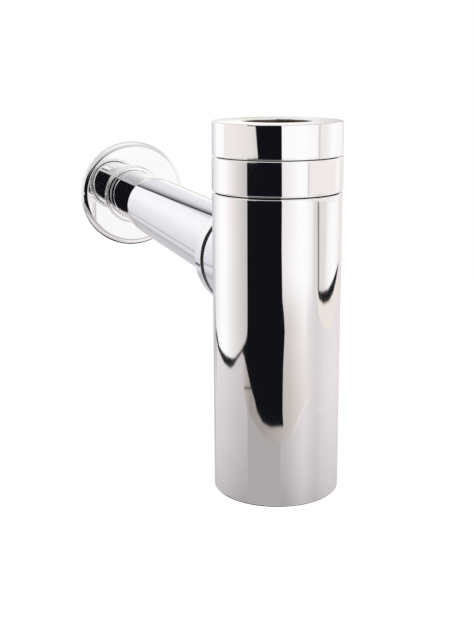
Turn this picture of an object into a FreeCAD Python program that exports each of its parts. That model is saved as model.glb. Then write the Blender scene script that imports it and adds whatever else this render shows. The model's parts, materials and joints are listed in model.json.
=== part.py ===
import FreeCAD, Part
import os
import Sketcher

# Bottle trap with a telescopic outlet pipe and a wall flange, in millimetres.
# Origin: centre of the inlet's mouth. +Z is up, +Y runs along the outlet pipe to the wall.

SIZES = (
    # Bottle and its rings
    ("body_radius", 31.0),
    ("trap_height", 181.6),
    ("body_wall", 1.5),
    ("body_neck_wall", 4.0),
    ("collar_overlap", 5.0),
    ("body_edge", 0.4),
    ("base_edge", 0.9),
    ("base_thickness", 7.0),
    # Inlet nut
    ("inlet_nut_height", 15.85),
    ("inlet_nut_wall", 3.0),
    ("inlet_nut_edge", 0.6),
    ("seam_gap", 0.4),
    ("seam_edge", 0.3),
    # Union nut
    ("union_nut_height", 16.5),
    ("union_lip", 3.2),
    ("union_wall", 3.2),
    ("union_swell", 0.15),
    ("union_bevel", 0.8),
    ("joint_gap", 0.5),
    # Neck, seals and dip tube under the inlet
    ("tail_bore", 16.5),
    ("tail_stop", 30.0),
    ("stop_lip", 2.0),
    ("neck_thread", 21.0),
    ("flange_inset", 1.0),
    ("neck_flange_thickness", 4.0),
    ("neck_spigot", 19.2),
    ("neck_depth", 44.0),
    ("slip_thickness", 1.5),
    ("washer_stand", 1.5),
    ("washer_taper", 3.5),
    ("inlet_washer_wide", 19.5),
    ("inlet_washer_narrow", 17.8),
    ("body_washer_thickness", 2.0),
    ("dip_radius", 16.0),
    ("dip_wall", 1.0),
    ("dip_depth", 145.0),
    ("dip_ring", 1.6),
    ("dip_ring_drop", 4.0),
    # Cleaning plug in the base
    ("base_rim", 4.6),
    ("plug_ledge", 4.5),
    ("plug_thread_length", 4.0),
    ("plug_head_thickness", 2.4),
    ("plug_sink", 0.3),
    ("plug_edge", 0.4),
    ("plug_ring", 1.8),
    ("plug_slot_length", 30.0),
    ("plug_slot_width", 3.0),
    ("plug_slot_depth", 1.5),
    # Outlet boss and nut
    ("outlet_depth", 72.0),
    ("outlet_bore", 17.5),
    ("boss_radius", 27.5),
    ("boss_length", 5.85),
    ("groove_gap", 1.75),
    ("groove_edge", 0.3),
    ("outlet_thread", 24.0),
    ("outlet_nut_length", 10.95),
    ("outlet_nut_wall", 2.6),
    ("outlet_nut_round", 1.8),
    ("outlet_washer_wide", 22.6),
    ("outlet_washer_narrow", 21.2),
    # Telescopic pipe
    ("sleeve_radius", 20.0),
    ("sleeve_end", 242.5),
    ("sleeve_round", 0.7),
    ("sleeve_ring", 0.9),
    ("sleeve_ring_inset", 5.0),
    ("tube_radius", 18.0),
    ("tube_wall", 1.2),
    ("tube_overlap", 52.5),
    ("tube_tail", 30.0),
    # Wall flange
    ("wall_distance", 317.0),
    ("flange_radius", 38.7),
    ("flange_thickness", 4.7),
    ("flange_sheet", 1.5),
    ("flange_rim", 2.0),
    ("flange_land", 0.3),
    ("hub_radius", 21.0),
    ("hub_length", 8.2),
    ("hub_round", 1.2),
    ("hub_bevel_width", 0.2),
    ("hub_bevel_length", 0.2),
    ("hub_fillet", 0.6),
    ("hub_back_gap", 1.0),
    ("hub_ring", 1.2),
    ("hub_ring_inset", 3.0),
    # Clearances
    ("braze_gap", 0.1),
    ("thread_gap", 0.3),
    ("slide_gap", 0.3),
    ("seal_gap", 0.15),
    ("stop_gap", 0.3),
    ("nut_hole_gap", 0.5),
)

# Stations along the inlet axis, as depths below the inlet's mouth
SLIP_TOP = "inlet_nut_wall"
WASHER_TOP = SLIP_TOP + " + slip_thickness"
NECK_TOP = WASHER_TOP + " + washer_stand"
SEAT_END = NECK_TOP + " + washer_taper + seal_gap"
UNION_TOP = "inlet_nut_height + seam_gap"
UNION_END = UNION_TOP + " + union_nut_height"
FLANGE_TOP = UNION_TOP + " + union_lip"
FLANGE_END = FLANGE_TOP + " + neck_flange_thickness"
BODY_TOP = FLANGE_END + " + body_washer_thickness"
SHOULDER = UNION_END + " + joint_gap"
DIP_TOP = "tail_stop + stop_lip"
DIP_GROOVE = DIP_TOP + " + dip_ring_drop"
DIP_GROOVE_END = DIP_GROOVE + " + dip_ring + seal_gap + seal_gap"
PLUG_FACE = "trap_height - plug_sink"
PLUG_SEAT = PLUG_FACE + " - plug_head_thickness"
PLUG_GROOVE = PLUG_SEAT + " - plug_ring - seal_gap - seal_gap"

# Stations along the outlet axis, as distances from the bottle's axis
BOSS_REACH = "body_radius + boss_length"
NUT_START = BOSS_REACH + " + groove_gap"
NUT_END = NUT_START + " + outlet_nut_length"
NUT_SEAT = NUT_END + " - outlet_nut_wall"
RING_SEAT = NUT_SEAT + " - slip_thickness"
BOSS_END = RING_SEAT + " - washer_stand"
CONE_END = BOSS_END + " - washer_taper"
SLEEVE_START = "body_radius + stop_gap"
SLEEVE_GROOVE_END = "sleeve_end - sleeve_ring_inset"
SLEEVE_GROOVE = SLEEVE_GROOVE_END + " - sleeve_ring - seal_gap - seal_gap"
HUB_FRONT = "wall_distance - hub_length"
HUB_GROOVE = HUB_FRONT + " + hub_ring_inset"
HUB_GROOVE_END = HUB_GROOVE + " + hub_ring + seal_gap + seal_gap"
FLANGE_FACE = "wall_distance - flange_thickness"
FLANGE_BACK = FLANGE_FACE + " + flange_sheet"
FLANGE_ROUND = "flange_thickness - flange_land"

# Radii of fits
NECK_FIT = "neck_thread + thread_gap"
BODY_FIT = "body_radius - union_wall"
BODY_NECK = BODY_FIT + " - thread_gap"
BODY_MOUTH = BODY_NECK + " - body_neck_wall"
NECK_FLANGE = BODY_NECK + " - flange_inset"
BODY_BORE = "body_radius - body_wall"
BRAZE_FIT = BODY_BORE + " - braze_gap"
DIP_BORE = "dip_radius - dip_wall"
DIP_FIT = "dip_radius + seal_gap"
PLUG_RECESS = BRAZE_FIT + " - base_rim"
PLUG_HEAD = PLUG_RECESS + " - thread_gap"
PLUG_THREAD = PLUG_HEAD + " - plug_ledge"
PLUG_FIT = PLUG_THREAD + " + thread_gap"
PLUG_RING_SEAT = PLUG_THREAD + " + seal_gap"
OUTLET_FIT = "outlet_thread + thread_gap"
SLEEVE_FIT = "sleeve_radius + slide_gap"
SLEEVE_HOLE = "sleeve_radius + nut_hole_gap"
TUBE_FIT = "tube_radius + slide_gap"
TUBE_BORE = "tube_radius - tube_wall"

doc = FreeCAD.newDocument("bottle_trap")
sizes = doc.addObject("Spreadsheet::Sheet", "sizes")
for row, (alias, value) in enumerate(SIZES, start=1):
    sizes.set("A%d" % row, alias)
    sizes.set("B%d" % row, str(value))
    sizes.setAlias("B%d" % row, alias)
doc.recompute()

DOWN = FreeCAD.Rotation(FreeCAD.Vector(0, 1, 0), 180)
TO_WALL = FreeCAD.Rotation(FreeCAD.Vector(1, 0, 0), -90)
NEAR = 0.001
pieces = []


def bound(formula):
    """The formula with each name tied to its cell in the sheet."""
    return " ".join(word if word in "+-" else "sizes." + word for word in formula.split())


def size_of(formula):
    """The present value of a formula of names joined by plus and minus."""
    total = 0.0
    sign = 1.0
    for word in formula.split():
        if word in "+-":
            sign = 1.0 if word == "+" else -1.0
        elif word != "0":
            total += sign * float(sizes.get(word))
    return total


def new_body(label):
    body = doc.addObject("PartDesign::Body", label)
    body.Label = label
    pieces.append(body)
    return body


def new_sketch(body, role, name):
    plane = [feature for feature in body.Origin.OriginFeatures if feature.Role == role][0]
    sketch = body.newObject("Sketcher::SketchObject", name)
    sketch.AttachmentSupport = (plane, [""])
    sketch.MapMode = "FlatFace"
    return sketch


def tie_point(sketch, edge, end, across, up):
    """Ties one end of an edge to its place, given as formulas across and up from the sketch's origin."""
    for kind, axis, formula in (("DistanceX", -2, across), ("DistanceY", -1, up)):
        if formula == "0":
            sketch.addConstraint(Sketcher.Constraint("PointOnObject", edge, end, axis))
        else:
            rule = Sketcher.Constraint(kind, -1, 1, edge, end, size_of(formula))
            index = sketch.addConstraint(rule)
            sketch.setExpression("Constraints[%d]" % index, bound(formula))


def draw_outline(sketch, points):
    """A closed outline of straight edges with every corner tied to the sheet."""
    corners = [FreeCAD.Vector(size_of(across), size_of(up), 0) for across, up in points]
    count = len(corners)
    sketch.addGeometry([Part.LineSegment(corners[i], corners[(i + 1) % count]) for i in range(count)])
    sketch.addConstraint([Sketcher.Constraint("Coincident", i, 2, (i + 1) % count, 1) for i in range(count)])
    for i, (across, up) in enumerate(points):
        tie_point(sketch, i, 1, across, up)


def draw_circle(sketch, up, radius):
    """A circle on the sketch's upright axis."""
    centre = FreeCAD.Vector(0, size_of(up), 0)
    index = sketch.addGeometry(Part.Circle(centre, FreeCAD.Vector(0, 0, 1), size_of(radius)))
    tie_point(sketch, index, 3, "0", up)
    rule = sketch.addConstraint(Sketcher.Constraint("Radius", index, size_of(radius)))
    sketch.setExpression("Constraints[%d]" % rule, bound(radius))


def turned(label, points):
    """A body turned about its own axis from corners given as (radius, station)."""
    body = new_body(label)
    section = new_sketch(body, "XZ_Plane", label + "_section")
    draw_outline(section, points)
    turn = body.newObject("PartDesign::Revolution", label + "_turn")
    turn.Profile = section
    turn.ReferenceAxis = (section, ["V_Axis"])
    turn.Angle = 360
    doc.recompute()
    return body


def rounded(body, name, radius, wanted):
    """Rounds the edges of the body that the given test picks."""
    base = body.Tip
    names = ["Edge%d" % i for i, edge in enumerate(base.Shape.Edges, start=1) if wanted(edge)]
    fillet = body.newObject("PartDesign::Fillet", name)
    fillet.Base = (base, names)
    fillet.setExpression("Radius", bound(radius))
    doc.recompute()


def round_cut(body, name, up, radius, length, both_ways):
    """Cuts a round hole along the body's second axis and makes sure that it took material away."""
    before = body.Shape.Volume
    circle = new_sketch(body, "XZ_Plane", name + "_circle")
    draw_circle(circle, up, radius)
    cut = body.newObject("PartDesign::Pocket", name)
    cut.Profile = circle
    cut.setExpression("Length", bound(length))
    cut.Midplane = both_ways
    doc.recompute()
    if body.Shape.Volume >= before:
        raise RuntimeError(name + " cut nothing")


def rim(radius, station):
    """A test for the round edge of one radius at one station of a turned body."""
    def wanted(edge):
        curve = edge.Curve
        if not isinstance(curve, Part.Circle):
            return False
        same_radius = abs(curve.Radius - size_of(radius)) < NEAR
        return same_radius and abs(curve.Center.z - size_of(station)) < NEAR
    return wanted


def hang(body):
    """Stands a turned body on the inlet axis, with its stations counted downwards."""
    body.Placement = FreeCAD.Placement(FreeCAD.Vector(0, 0, 0), DOWN)


def reach(body):
    """Lays a turned body on the outlet axis, with its stations counted towards the wall."""
    body.Placement = FreeCAD.Placement(FreeCAD.Vector(0, 0, 0), TO_WALL)
    body.setExpression("Placement.Base.z", "-" + bound("outlet_depth"))


def ring_seal(label, inner, section):
    """A round rubber ring with its inner radius and its section's diameter."""
    ring = doc.addObject("Part::Torus", label)
    ring.Label = label
    ring.setExpression("Radius1", bound(inner) + " + " + bound(section) + " / 2")
    ring.setExpression("Radius2", bound(section) + " / 2")
    pieces.append(ring)
    return ring


# Inlet nut: a round nut with a top wall and a hole for the tail pipe
inlet_nut = turned("inlet_nut", (
    ("tail_bore", "0"),
    ("body_radius", "0"),
    ("body_radius", "inlet_nut_height - seam_edge"),
    ("body_radius - seam_edge", "inlet_nut_height"),
    (NECK_FIT, "inlet_nut_height"),
    (NECK_FIT, SLIP_TOP),
    ("tail_bore", SLIP_TOP),
))
rounded(inlet_nut, "inlet_nut_rim", "inlet_nut_edge", rim("body_radius", "0"))
hang(inlet_nut)

# Plastic ring and tapered washer that the inlet nut presses on the tail pipe
hang(turned("inlet_slip_ring", (
    ("tail_bore", SLIP_TOP),
    ("neck_thread", SLIP_TOP),
    ("neck_thread", WASHER_TOP),
    ("tail_bore", WASHER_TOP),
)))
hang(turned("inlet_washer", (
    ("tail_bore", WASHER_TOP),
    ("inlet_washer_wide", WASHER_TOP),
    ("inlet_washer_wide", NECK_TOP),
    ("inlet_washer_narrow", NECK_TOP + " + washer_taper"),
    ("tail_bore", NECK_TOP + " + washer_taper"),
)))

# Inlet neck: thread for the nut, conical seat, flange under the union nut, socket for the dip tube
hang(turned("inlet_neck", (
    ("inlet_washer_wide + seal_gap", NECK_TOP),
    ("neck_thread", NECK_TOP),
    ("neck_thread", FLANGE_TOP),
    (NECK_FLANGE, FLANGE_TOP),
    (NECK_FLANGE, FLANGE_END),
    ("neck_spigot", FLANGE_END),
    ("neck_spigot", "neck_depth"),
    (DIP_FIT, "neck_depth"),
    (DIP_FIT, DIP_GROOVE_END),
    (DIP_FIT + " + dip_ring + seal_gap", DIP_GROOVE_END),
    (DIP_FIT + " + dip_ring + seal_gap", DIP_GROOVE),
    (DIP_FIT, DIP_GROOVE),
    (DIP_FIT, DIP_TOP),
    (DIP_BORE, DIP_TOP),
    (DIP_BORE, "tail_stop"),
    ("tail_bore", "tail_stop"),
    ("tail_bore", SEAT_END),
    ("inlet_washer_narrow + seal_gap", SEAT_END),
)))

# Dip tube and its ring
hang(turned("dip_tube", (
    (DIP_BORE, DIP_TOP),
    ("dip_radius", DIP_TOP),
    ("dip_radius", "dip_depth"),
    (DIP_BORE, "dip_depth"),
)))
dip_ring = ring_seal("dip_tube_o_ring", DIP_FIT, "dip_ring")
dip_ring.setExpression(
    "Placement.Base.z", "-(" + bound(DIP_GROOVE + " + seal_gap") + " + sizes.dip_ring / 2)")

# Union nut: the middle ring, with a lip over the neck's flange
hang(turned("union_nut", (
    (NECK_FIT, UNION_TOP),
    ("body_radius + union_swell - seam_edge", UNION_TOP),
    ("body_radius + union_swell", UNION_TOP + " + seam_edge"),
    ("body_radius + union_swell", UNION_END + " - union_bevel"),
    ("body_radius + union_swell - union_bevel", UNION_END),
    (BODY_FIT, UNION_END),
    (BODY_FIT, FLANGE_TOP),
    (NECK_FIT, FLANGE_TOP),
)))

# Flat washer between the neck's flange and the bottle's rim
hang(turned("body_washer", (
    (BODY_MOUTH, FLANGE_END),
    (NECK_FLANGE, FLANGE_END),
    (NECK_FLANGE, BODY_TOP),
    (BODY_MOUTH, BODY_TOP),
)))

# Bottle: a tube, brazed to a threaded collar, a base ring and a side boss
trap_body = turned("trap_body", (
    (BODY_BORE, SHOULDER),
    ("body_radius - body_edge", SHOULDER),
    ("body_radius", SHOULDER + " + body_edge"),
    ("body_radius", "trap_height - base_edge"),
    ("body_radius - base_edge", "trap_height"),
    (BODY_BORE, "trap_height"),
))
round_cut(trap_body, "outlet_hole", "outlet_depth", "outlet_bore", BOSS_REACH, False)
hang(trap_body)
hang(turned("body_collar", (
    (BODY_MOUTH, BODY_TOP),
    (BODY_NECK, BODY_TOP),
    (BODY_NECK, SHOULDER),
    (BRAZE_FIT, SHOULDER),
    (BRAZE_FIT, SHOULDER + " + collar_overlap"),
    (BODY_MOUTH, SHOULDER + " + collar_overlap"),
)))

# Base ring with the plug's thread, ring groove and head recess
hang(turned("base_ring", (
    (PLUG_FIT, "trap_height - base_thickness"),
    (BRAZE_FIT, "trap_height - base_thickness"),
    (BRAZE_FIT, "trap_height"),
    (PLUG_RECESS, "trap_height"),
    (PLUG_RECESS, PLUG_SEAT),
    (PLUG_RING_SEAT + " + plug_ring + seal_gap", PLUG_SEAT),
    (PLUG_RING_SEAT + " + plug_ring + seal_gap", PLUG_GROOVE),
    (PLUG_FIT, PLUG_GROOVE),
)))

# Side boss: saddle on the tube, socket for the sleeve, conical seat, thread for the outlet nut
outlet_boss = turned("outlet_boss", (
    (SLEEVE_FIT, "0"),
    ("boss_radius", "0"),
    ("boss_radius", BOSS_REACH + " - groove_edge"),
    ("boss_radius - groove_edge", BOSS_REACH),
    ("outlet_thread", BOSS_REACH),
    ("outlet_thread", BOSS_END),
    ("outlet_washer_wide + seal_gap", BOSS_END),
    ("outlet_washer_narrow + seal_gap", CONE_END + " - seal_gap"),
    (SLEEVE_FIT, CONE_END + " - seal_gap"),
))
SADDLE_LENGTH = "boss_radius + boss_radius + body_radius"
round_cut(outlet_boss, "saddle", "0", "body_radius + braze_gap", SADDLE_LENGTH, True)
reach(outlet_boss)

# Cleaning plug with a coin slot across its face
base_plug = turned("base_plug", (
    ("0", PLUG_SEAT + " - plug_thread_length"),
    (PLUG_THREAD, PLUG_SEAT + " - plug_thread_length"),
    (PLUG_THREAD, PLUG_SEAT),
    (PLUG_HEAD, PLUG_SEAT),
    (PLUG_HEAD, PLUG_FACE + " - plug_edge"),
    (PLUG_HEAD + " - plug_edge", PLUG_FACE),
    ("0", PLUG_FACE),
))
slot = new_sketch(base_plug, "XY_Plane", "plug_slot_outline")
half_length = size_of("plug_slot_length") / 2
half_width = size_of("plug_slot_width") / 2
corner_signs = ((-1, -1), (1, -1), (1, 1), (-1, 1))
slot_corners = [FreeCAD.Vector(x * half_length, y * half_width, 0) for x, y in corner_signs]
slot.addGeometry([Part.LineSegment(slot_corners[i], slot_corners[(i + 1) % 4]) for i in range(4)])
slot.addConstraint([Sketcher.Constraint("Coincident", i, 2, (i + 1) % 4, 1) for i in range(4)])
slot.addConstraint([Sketcher.Constraint("Horizontal", 0), Sketcher.Constraint("Horizontal", 2),
                    Sketcher.Constraint("Vertical", 1), Sketcher.Constraint("Vertical", 3),
                    Sketcher.Constraint("Symmetric", 0, 1, 1, 2, -1, 1)])
for kind, edge, alias in (("DistanceX", 0, "plug_slot_length"), ("DistanceY", 1, "plug_slot_width")):
    rule = slot.addConstraint(Sketcher.Constraint(kind, edge, 1, edge, 2, size_of(alias)))
    slot.setExpression("Constraints[%d]" % rule, bound(alias))
slot.setExpression("AttachmentOffset.Base.z", bound(PLUG_FACE))
whole_plug = base_plug.Shape.Volume
slot_cut = base_plug.newObject("PartDesign::Pocket", "plug_slot")
slot_cut.Profile = slot
slot_cut.setExpression("Length", bound("plug_slot_depth"))
doc.recompute()
if base_plug.Shape.Volume >= whole_plug:
    raise RuntimeError("the plug's slot cut nothing")
hang(base_plug)
plug_ring = ring_seal("base_plug_o_ring", PLUG_RING_SEAT, "plug_ring")
plug_ring.setExpression(
    "Placement.Base.z", "-(" + bound(PLUG_SEAT + " - seal_gap") + " - sizes.plug_ring / 2)")

# Outlet nut with its rounded far shoulder
outlet_nut = turned("outlet_nut", (
    (OUTLET_FIT, NUT_START),
    ("boss_radius - groove_edge", NUT_START),
    ("boss_radius", NUT_START + " + groove_edge"),
    ("boss_radius", NUT_END),
    (SLEEVE_HOLE, NUT_END),
    (SLEEVE_HOLE, NUT_SEAT),
    (OUTLET_FIT, NUT_SEAT),
))
rounded(outlet_nut, "outlet_nut_shoulder", "outlet_nut_round", rim("boss_radius", NUT_END))
reach(outlet_nut)

# Plastic ring and tapered washer that the outlet nut presses on the sleeve
reach(turned("outlet_slip_ring", (
    (SLEEVE_FIT, RING_SEAT),
    ("outlet_thread", RING_SEAT),
    ("outlet_thread", NUT_SEAT),
    (SLEEVE_FIT, NUT_SEAT),
)))
reach(turned("outlet_washer", (
    ("sleeve_radius + seal_gap", CONE_END),
    ("outlet_washer_narrow", CONE_END),
    ("outlet_washer_wide", BOSS_END),
    ("outlet_washer_wide", RING_SEAT),
    ("sleeve_radius + seal_gap", RING_SEAT),
)))

# Outer tube of the telescope, with a ring groove inside its far end
outlet_sleeve = turned("outlet_sleeve", (
    (TUBE_FIT, SLEEVE_START),
    ("sleeve_radius", SLEEVE_START),
    ("sleeve_radius", "sleeve_end"),
    (TUBE_FIT, "sleeve_end"),
    (TUBE_FIT, SLEEVE_GROOVE_END),
    ("tube_radius + seal_gap + sleeve_ring + seal_gap", SLEEVE_GROOVE_END),
    ("tube_radius + seal_gap + sleeve_ring + seal_gap", SLEEVE_GROOVE),
    (TUBE_FIT, SLEEVE_GROOVE),
))
rounded(outlet_sleeve, "sleeve_lip", "sleeve_round", rim("sleeve_radius", "sleeve_end"))
reach(outlet_sleeve)
sleeve_ring = ring_seal("sleeve_o_ring", "tube_radius + seal_gap", "sleeve_ring")

# Inner tube of the telescope, which goes on through the flange into the wall
reach(turned("wall_tube", (
    (TUBE_BORE, "sleeve_end - tube_overlap"),
    ("tube_radius", "sleeve_end - tube_overlap"),
    ("tube_radius", "wall_distance + tube_tail"),
    (TUBE_BORE, "wall_distance + tube_tail"),
)))

# Wall flange: a shallow dish, open at the back, with a hub that grips the tube
wall_flange = turned("wall_flange", (
    (TUBE_FIT, HUB_FRONT + " + hub_bevel_length"),
    (TUBE_FIT + " + hub_bevel_width", HUB_FRONT),
    ("hub_radius", HUB_FRONT),
    ("hub_radius", FLANGE_FACE),
    ("flange_radius", FLANGE_FACE),
    ("flange_radius", "wall_distance"),
    ("flange_radius - flange_rim", "wall_distance"),
    ("flange_radius - flange_rim", FLANGE_BACK),
    ("hub_radius", FLANGE_BACK),
    ("hub_radius", "wall_distance - hub_back_gap"),
    (TUBE_FIT, "wall_distance - hub_back_gap"),
    (TUBE_FIT, HUB_GROOVE_END),
    ("tube_radius + seal_gap + hub_ring + seal_gap", HUB_GROOVE_END),
    ("tube_radius + seal_gap + hub_ring + seal_gap", HUB_GROOVE),
    (TUBE_FIT, HUB_GROOVE),
))
rounded(wall_flange, "flange_edge", FLANGE_ROUND, rim("flange_radius", FLANGE_FACE))
rounded(wall_flange, "flange_inside", FLANGE_ROUND + " - flange_sheet",
        rim("flange_radius - flange_rim", FLANGE_BACK))
rounded(wall_flange, "hub_lip", "hub_round", rim("hub_radius", HUB_FRONT))
rounded(wall_flange, "hub_root", "hub_fillet", rim("hub_radius", FLANGE_FACE))
reach(wall_flange)
hub_ring = ring_seal("flange_o_ring", "tube_radius + seal_gap", "hub_ring")

# Both pipe rings sit in the middle of their grooves
PIPE_RINGS = ((sleeve_ring, SLEEVE_GROOVE, "sleeve_ring"), (hub_ring, HUB_GROOVE, "hub_ring"))
for ring, station, section in PIPE_RINGS:
    reach(ring)
    ring.setExpression("Placement.Base.y", bound(station + " + seal_gap") + " + sizes." + section + " / 2")

doc.recompute()
for item in doc.Objects:
    if "Invalid" in item.State or "Error" in item.State:
        raise RuntimeError(item.Label + " failed: " + ", ".join(item.State))
for piece in pieces:
    if piece.Shape.isNull() or not piece.Shape.isValid() or len(piece.Shape.Solids) != 1:
        raise RuntimeError(piece.Label + " has no sound solid")

os.makedirs("parts", exist_ok=True)
for piece in pieces:
    piece.Shape.exportStep("parts/" + piece.Label + ".step")
    box = piece.Shape.BoundBox
    print("%-18s %9.1f mm3   x %7.2f %7.2f   y %7.2f %7.2f   z %8.2f %8.2f" % (
        piece.Label, piece.Shape.Volume, box.XMin, box.XMax, box.YMin, box.YMax, box.ZMin, box.ZMax))
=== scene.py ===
import json
import math
from collections import namedtuple

import bmesh
import bpy
from mathutils import Matrix, Vector


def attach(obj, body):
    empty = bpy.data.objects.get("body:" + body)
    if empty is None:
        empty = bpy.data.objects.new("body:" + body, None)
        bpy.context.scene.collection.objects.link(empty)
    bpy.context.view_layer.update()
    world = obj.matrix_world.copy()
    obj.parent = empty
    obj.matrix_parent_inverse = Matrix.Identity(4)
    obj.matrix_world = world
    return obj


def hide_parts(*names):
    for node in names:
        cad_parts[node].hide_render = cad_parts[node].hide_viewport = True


# Bottle trap with a telescopic outlet pipe and a wall flange.
# Sections are drawn in millimetres and turned about the inlet or the outlet axis.

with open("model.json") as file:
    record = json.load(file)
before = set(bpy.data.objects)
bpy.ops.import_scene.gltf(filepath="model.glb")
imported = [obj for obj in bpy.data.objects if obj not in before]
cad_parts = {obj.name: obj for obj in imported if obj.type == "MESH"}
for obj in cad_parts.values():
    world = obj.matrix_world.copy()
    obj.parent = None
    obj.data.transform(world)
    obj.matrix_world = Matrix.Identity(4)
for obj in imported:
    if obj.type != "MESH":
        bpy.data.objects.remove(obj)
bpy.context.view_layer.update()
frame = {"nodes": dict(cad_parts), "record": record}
scene = bpy.context.scene

MM = 0.001
STEPS_AROUND = 192
SHARP = math.radians(28)
ARC_STEP = math.radians(11)
EDGE_HOLD = 0.25
THREAD_ROW = 0.2
ON_CREST = 1e-6
SAME_RADIUS = 1e-5
MERGE = 1e-7

# Radii, in millimetres
BODY = 31.0
BODY_BORE = 29.5
BODY_NECK = 27.5
INSERT = 29.4
TAIL_BORE = 16.5
NECK_THREAD = 21.0
NECK_FLANGE = 26.5
DIP_TUBE = 16.0
DIP_BORE = 15.0
PLUG_HEAD = 24.5
PLUG_THREAD = 20.0
OUTLET_BORE = 17.5
BOSS = 27.5
OUTLET_THREAD = 24.0
SLEEVE = 20.0
SLEEVE_BORE = 18.3
TUBE = 18.0
TUBE_BORE = 16.8
HUB = 21.0
FLANGE = 38.7
RUN_GAP = 0.3

# Depths below the inlet's mouth, in millimetres
NECK_TOP = 6.0
SEAM = 15.85
UNION_TOP = 16.25
NECK_FLANGE_TOP = 19.45
NECK_FLANGE_END = 23.45
TAIL_STOP = 30.0
DIP_TOP = 32.0
UNION_END = 32.75
SHOULDER = 33.25
OUTLET_DEPTH = 72.0
DIP_END = 145.0
PLUG_SEAT = 178.9
TRAP_HEIGHT = 181.6

# Distances along the outlet from the bottle's axis, in millimetres
SLEEVE_START = 31.3
BOSS_END = 36.85
NUT_START = 38.6
OUTLET_THREAD_END = 43.95
NUT_END = 49.55
TUBE_START = 190.0
SLEEVE_END = 242.5
HUB_FRONT = 308.8
FLANGE_FACE = 312.3
WALL = 317.0
TUBE_END = 347.0

# Colour sockets of a Mix node
MIX_SHARE = 0
MIX_FIRST = 6
MIX_SECOND = 7
MIX_RESULT = 2

Thread = namedtuple("Thread", "radius depth pitch start end")
NO_THREAD = Thread(radius=0.0, depth=0.0, pitch=1.0, start=0.0, end=1.0)


class Wire:
    """A number that runs through a node tree. Arithmetic on it adds the nodes that work it out."""

    def __init__(self, tree, socket):
        self.tree = tree
        self.socket = socket

    def math(self, operation, *others):
        node = self.tree.nodes.new("ShaderNodeMath")
        node.operation = operation
        for slot, value in zip(node.inputs, (self,) + others):
            feed(self.tree, slot, value)
        return Wire(self.tree, node.outputs[0])

    def __add__(self, other):
        return self.math("ADD", other)

    def __sub__(self, other):
        return self.math("SUBTRACT", other)

    def __mul__(self, other):
        return self.math("MULTIPLY", other)

    def __truediv__(self, other):
        return self.math("DIVIDE", other)

    def __neg__(self):
        return self.math("MULTIPLY", -1.0)

    def rise(self, low, high):
        """0 below low, 1 above high, and a smooth step between them."""
        node = self.tree.nodes.new("ShaderNodeMapRange")
        node.interpolation_type = "SMOOTHSTEP"
        feed(self.tree, node.inputs["Value"], self)
        feed(self.tree, node.inputs["From Min"], low)
        feed(self.tree, node.inputs["From Max"], high)
        return Wire(self.tree, node.outputs[0])

    def fall(self, low, high):
        """1 below low and 0 above high."""
        return (-self.rise(low, high)) + 1.0

    def within(self, start, full, fade, end):
        """0 up to start, 1 from full to fade, and 0 from end on."""
        return self.rise(start, full) * self.fall(fade, end)

    def near(self, place, width):
        """1 at a place, fading to 0 over a width on both sides."""
        return (self - place).math("ABSOLUTE").fall(0.0, width)


def feed(tree, slot, value):
    """Sets a socket to a value, or joins a wire or another socket to it."""
    if isinstance(value, Wire):
        tree.links.new(value.socket, slot)
    elif isinstance(value, bpy.types.NodeSocket):
        tree.links.new(value, slot)
    else:
        slot.default_value = value


def add_node(tree, kind, **inputs):
    """A new node with some of its inputs set, the names' underscores standing for spaces."""
    node = tree.nodes.new(kind)
    for name, value in inputs.items():
        feed(tree, node.inputs[name.replace("_", " ")], value)
    return node


def parts(tree, vector):
    """The three numbers of a vector, as wires."""
    split = add_node(tree, "ShaderNodeSeparateXYZ", Vector=vector)
    return [Wire(tree, out) for out in split.outputs]


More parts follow.
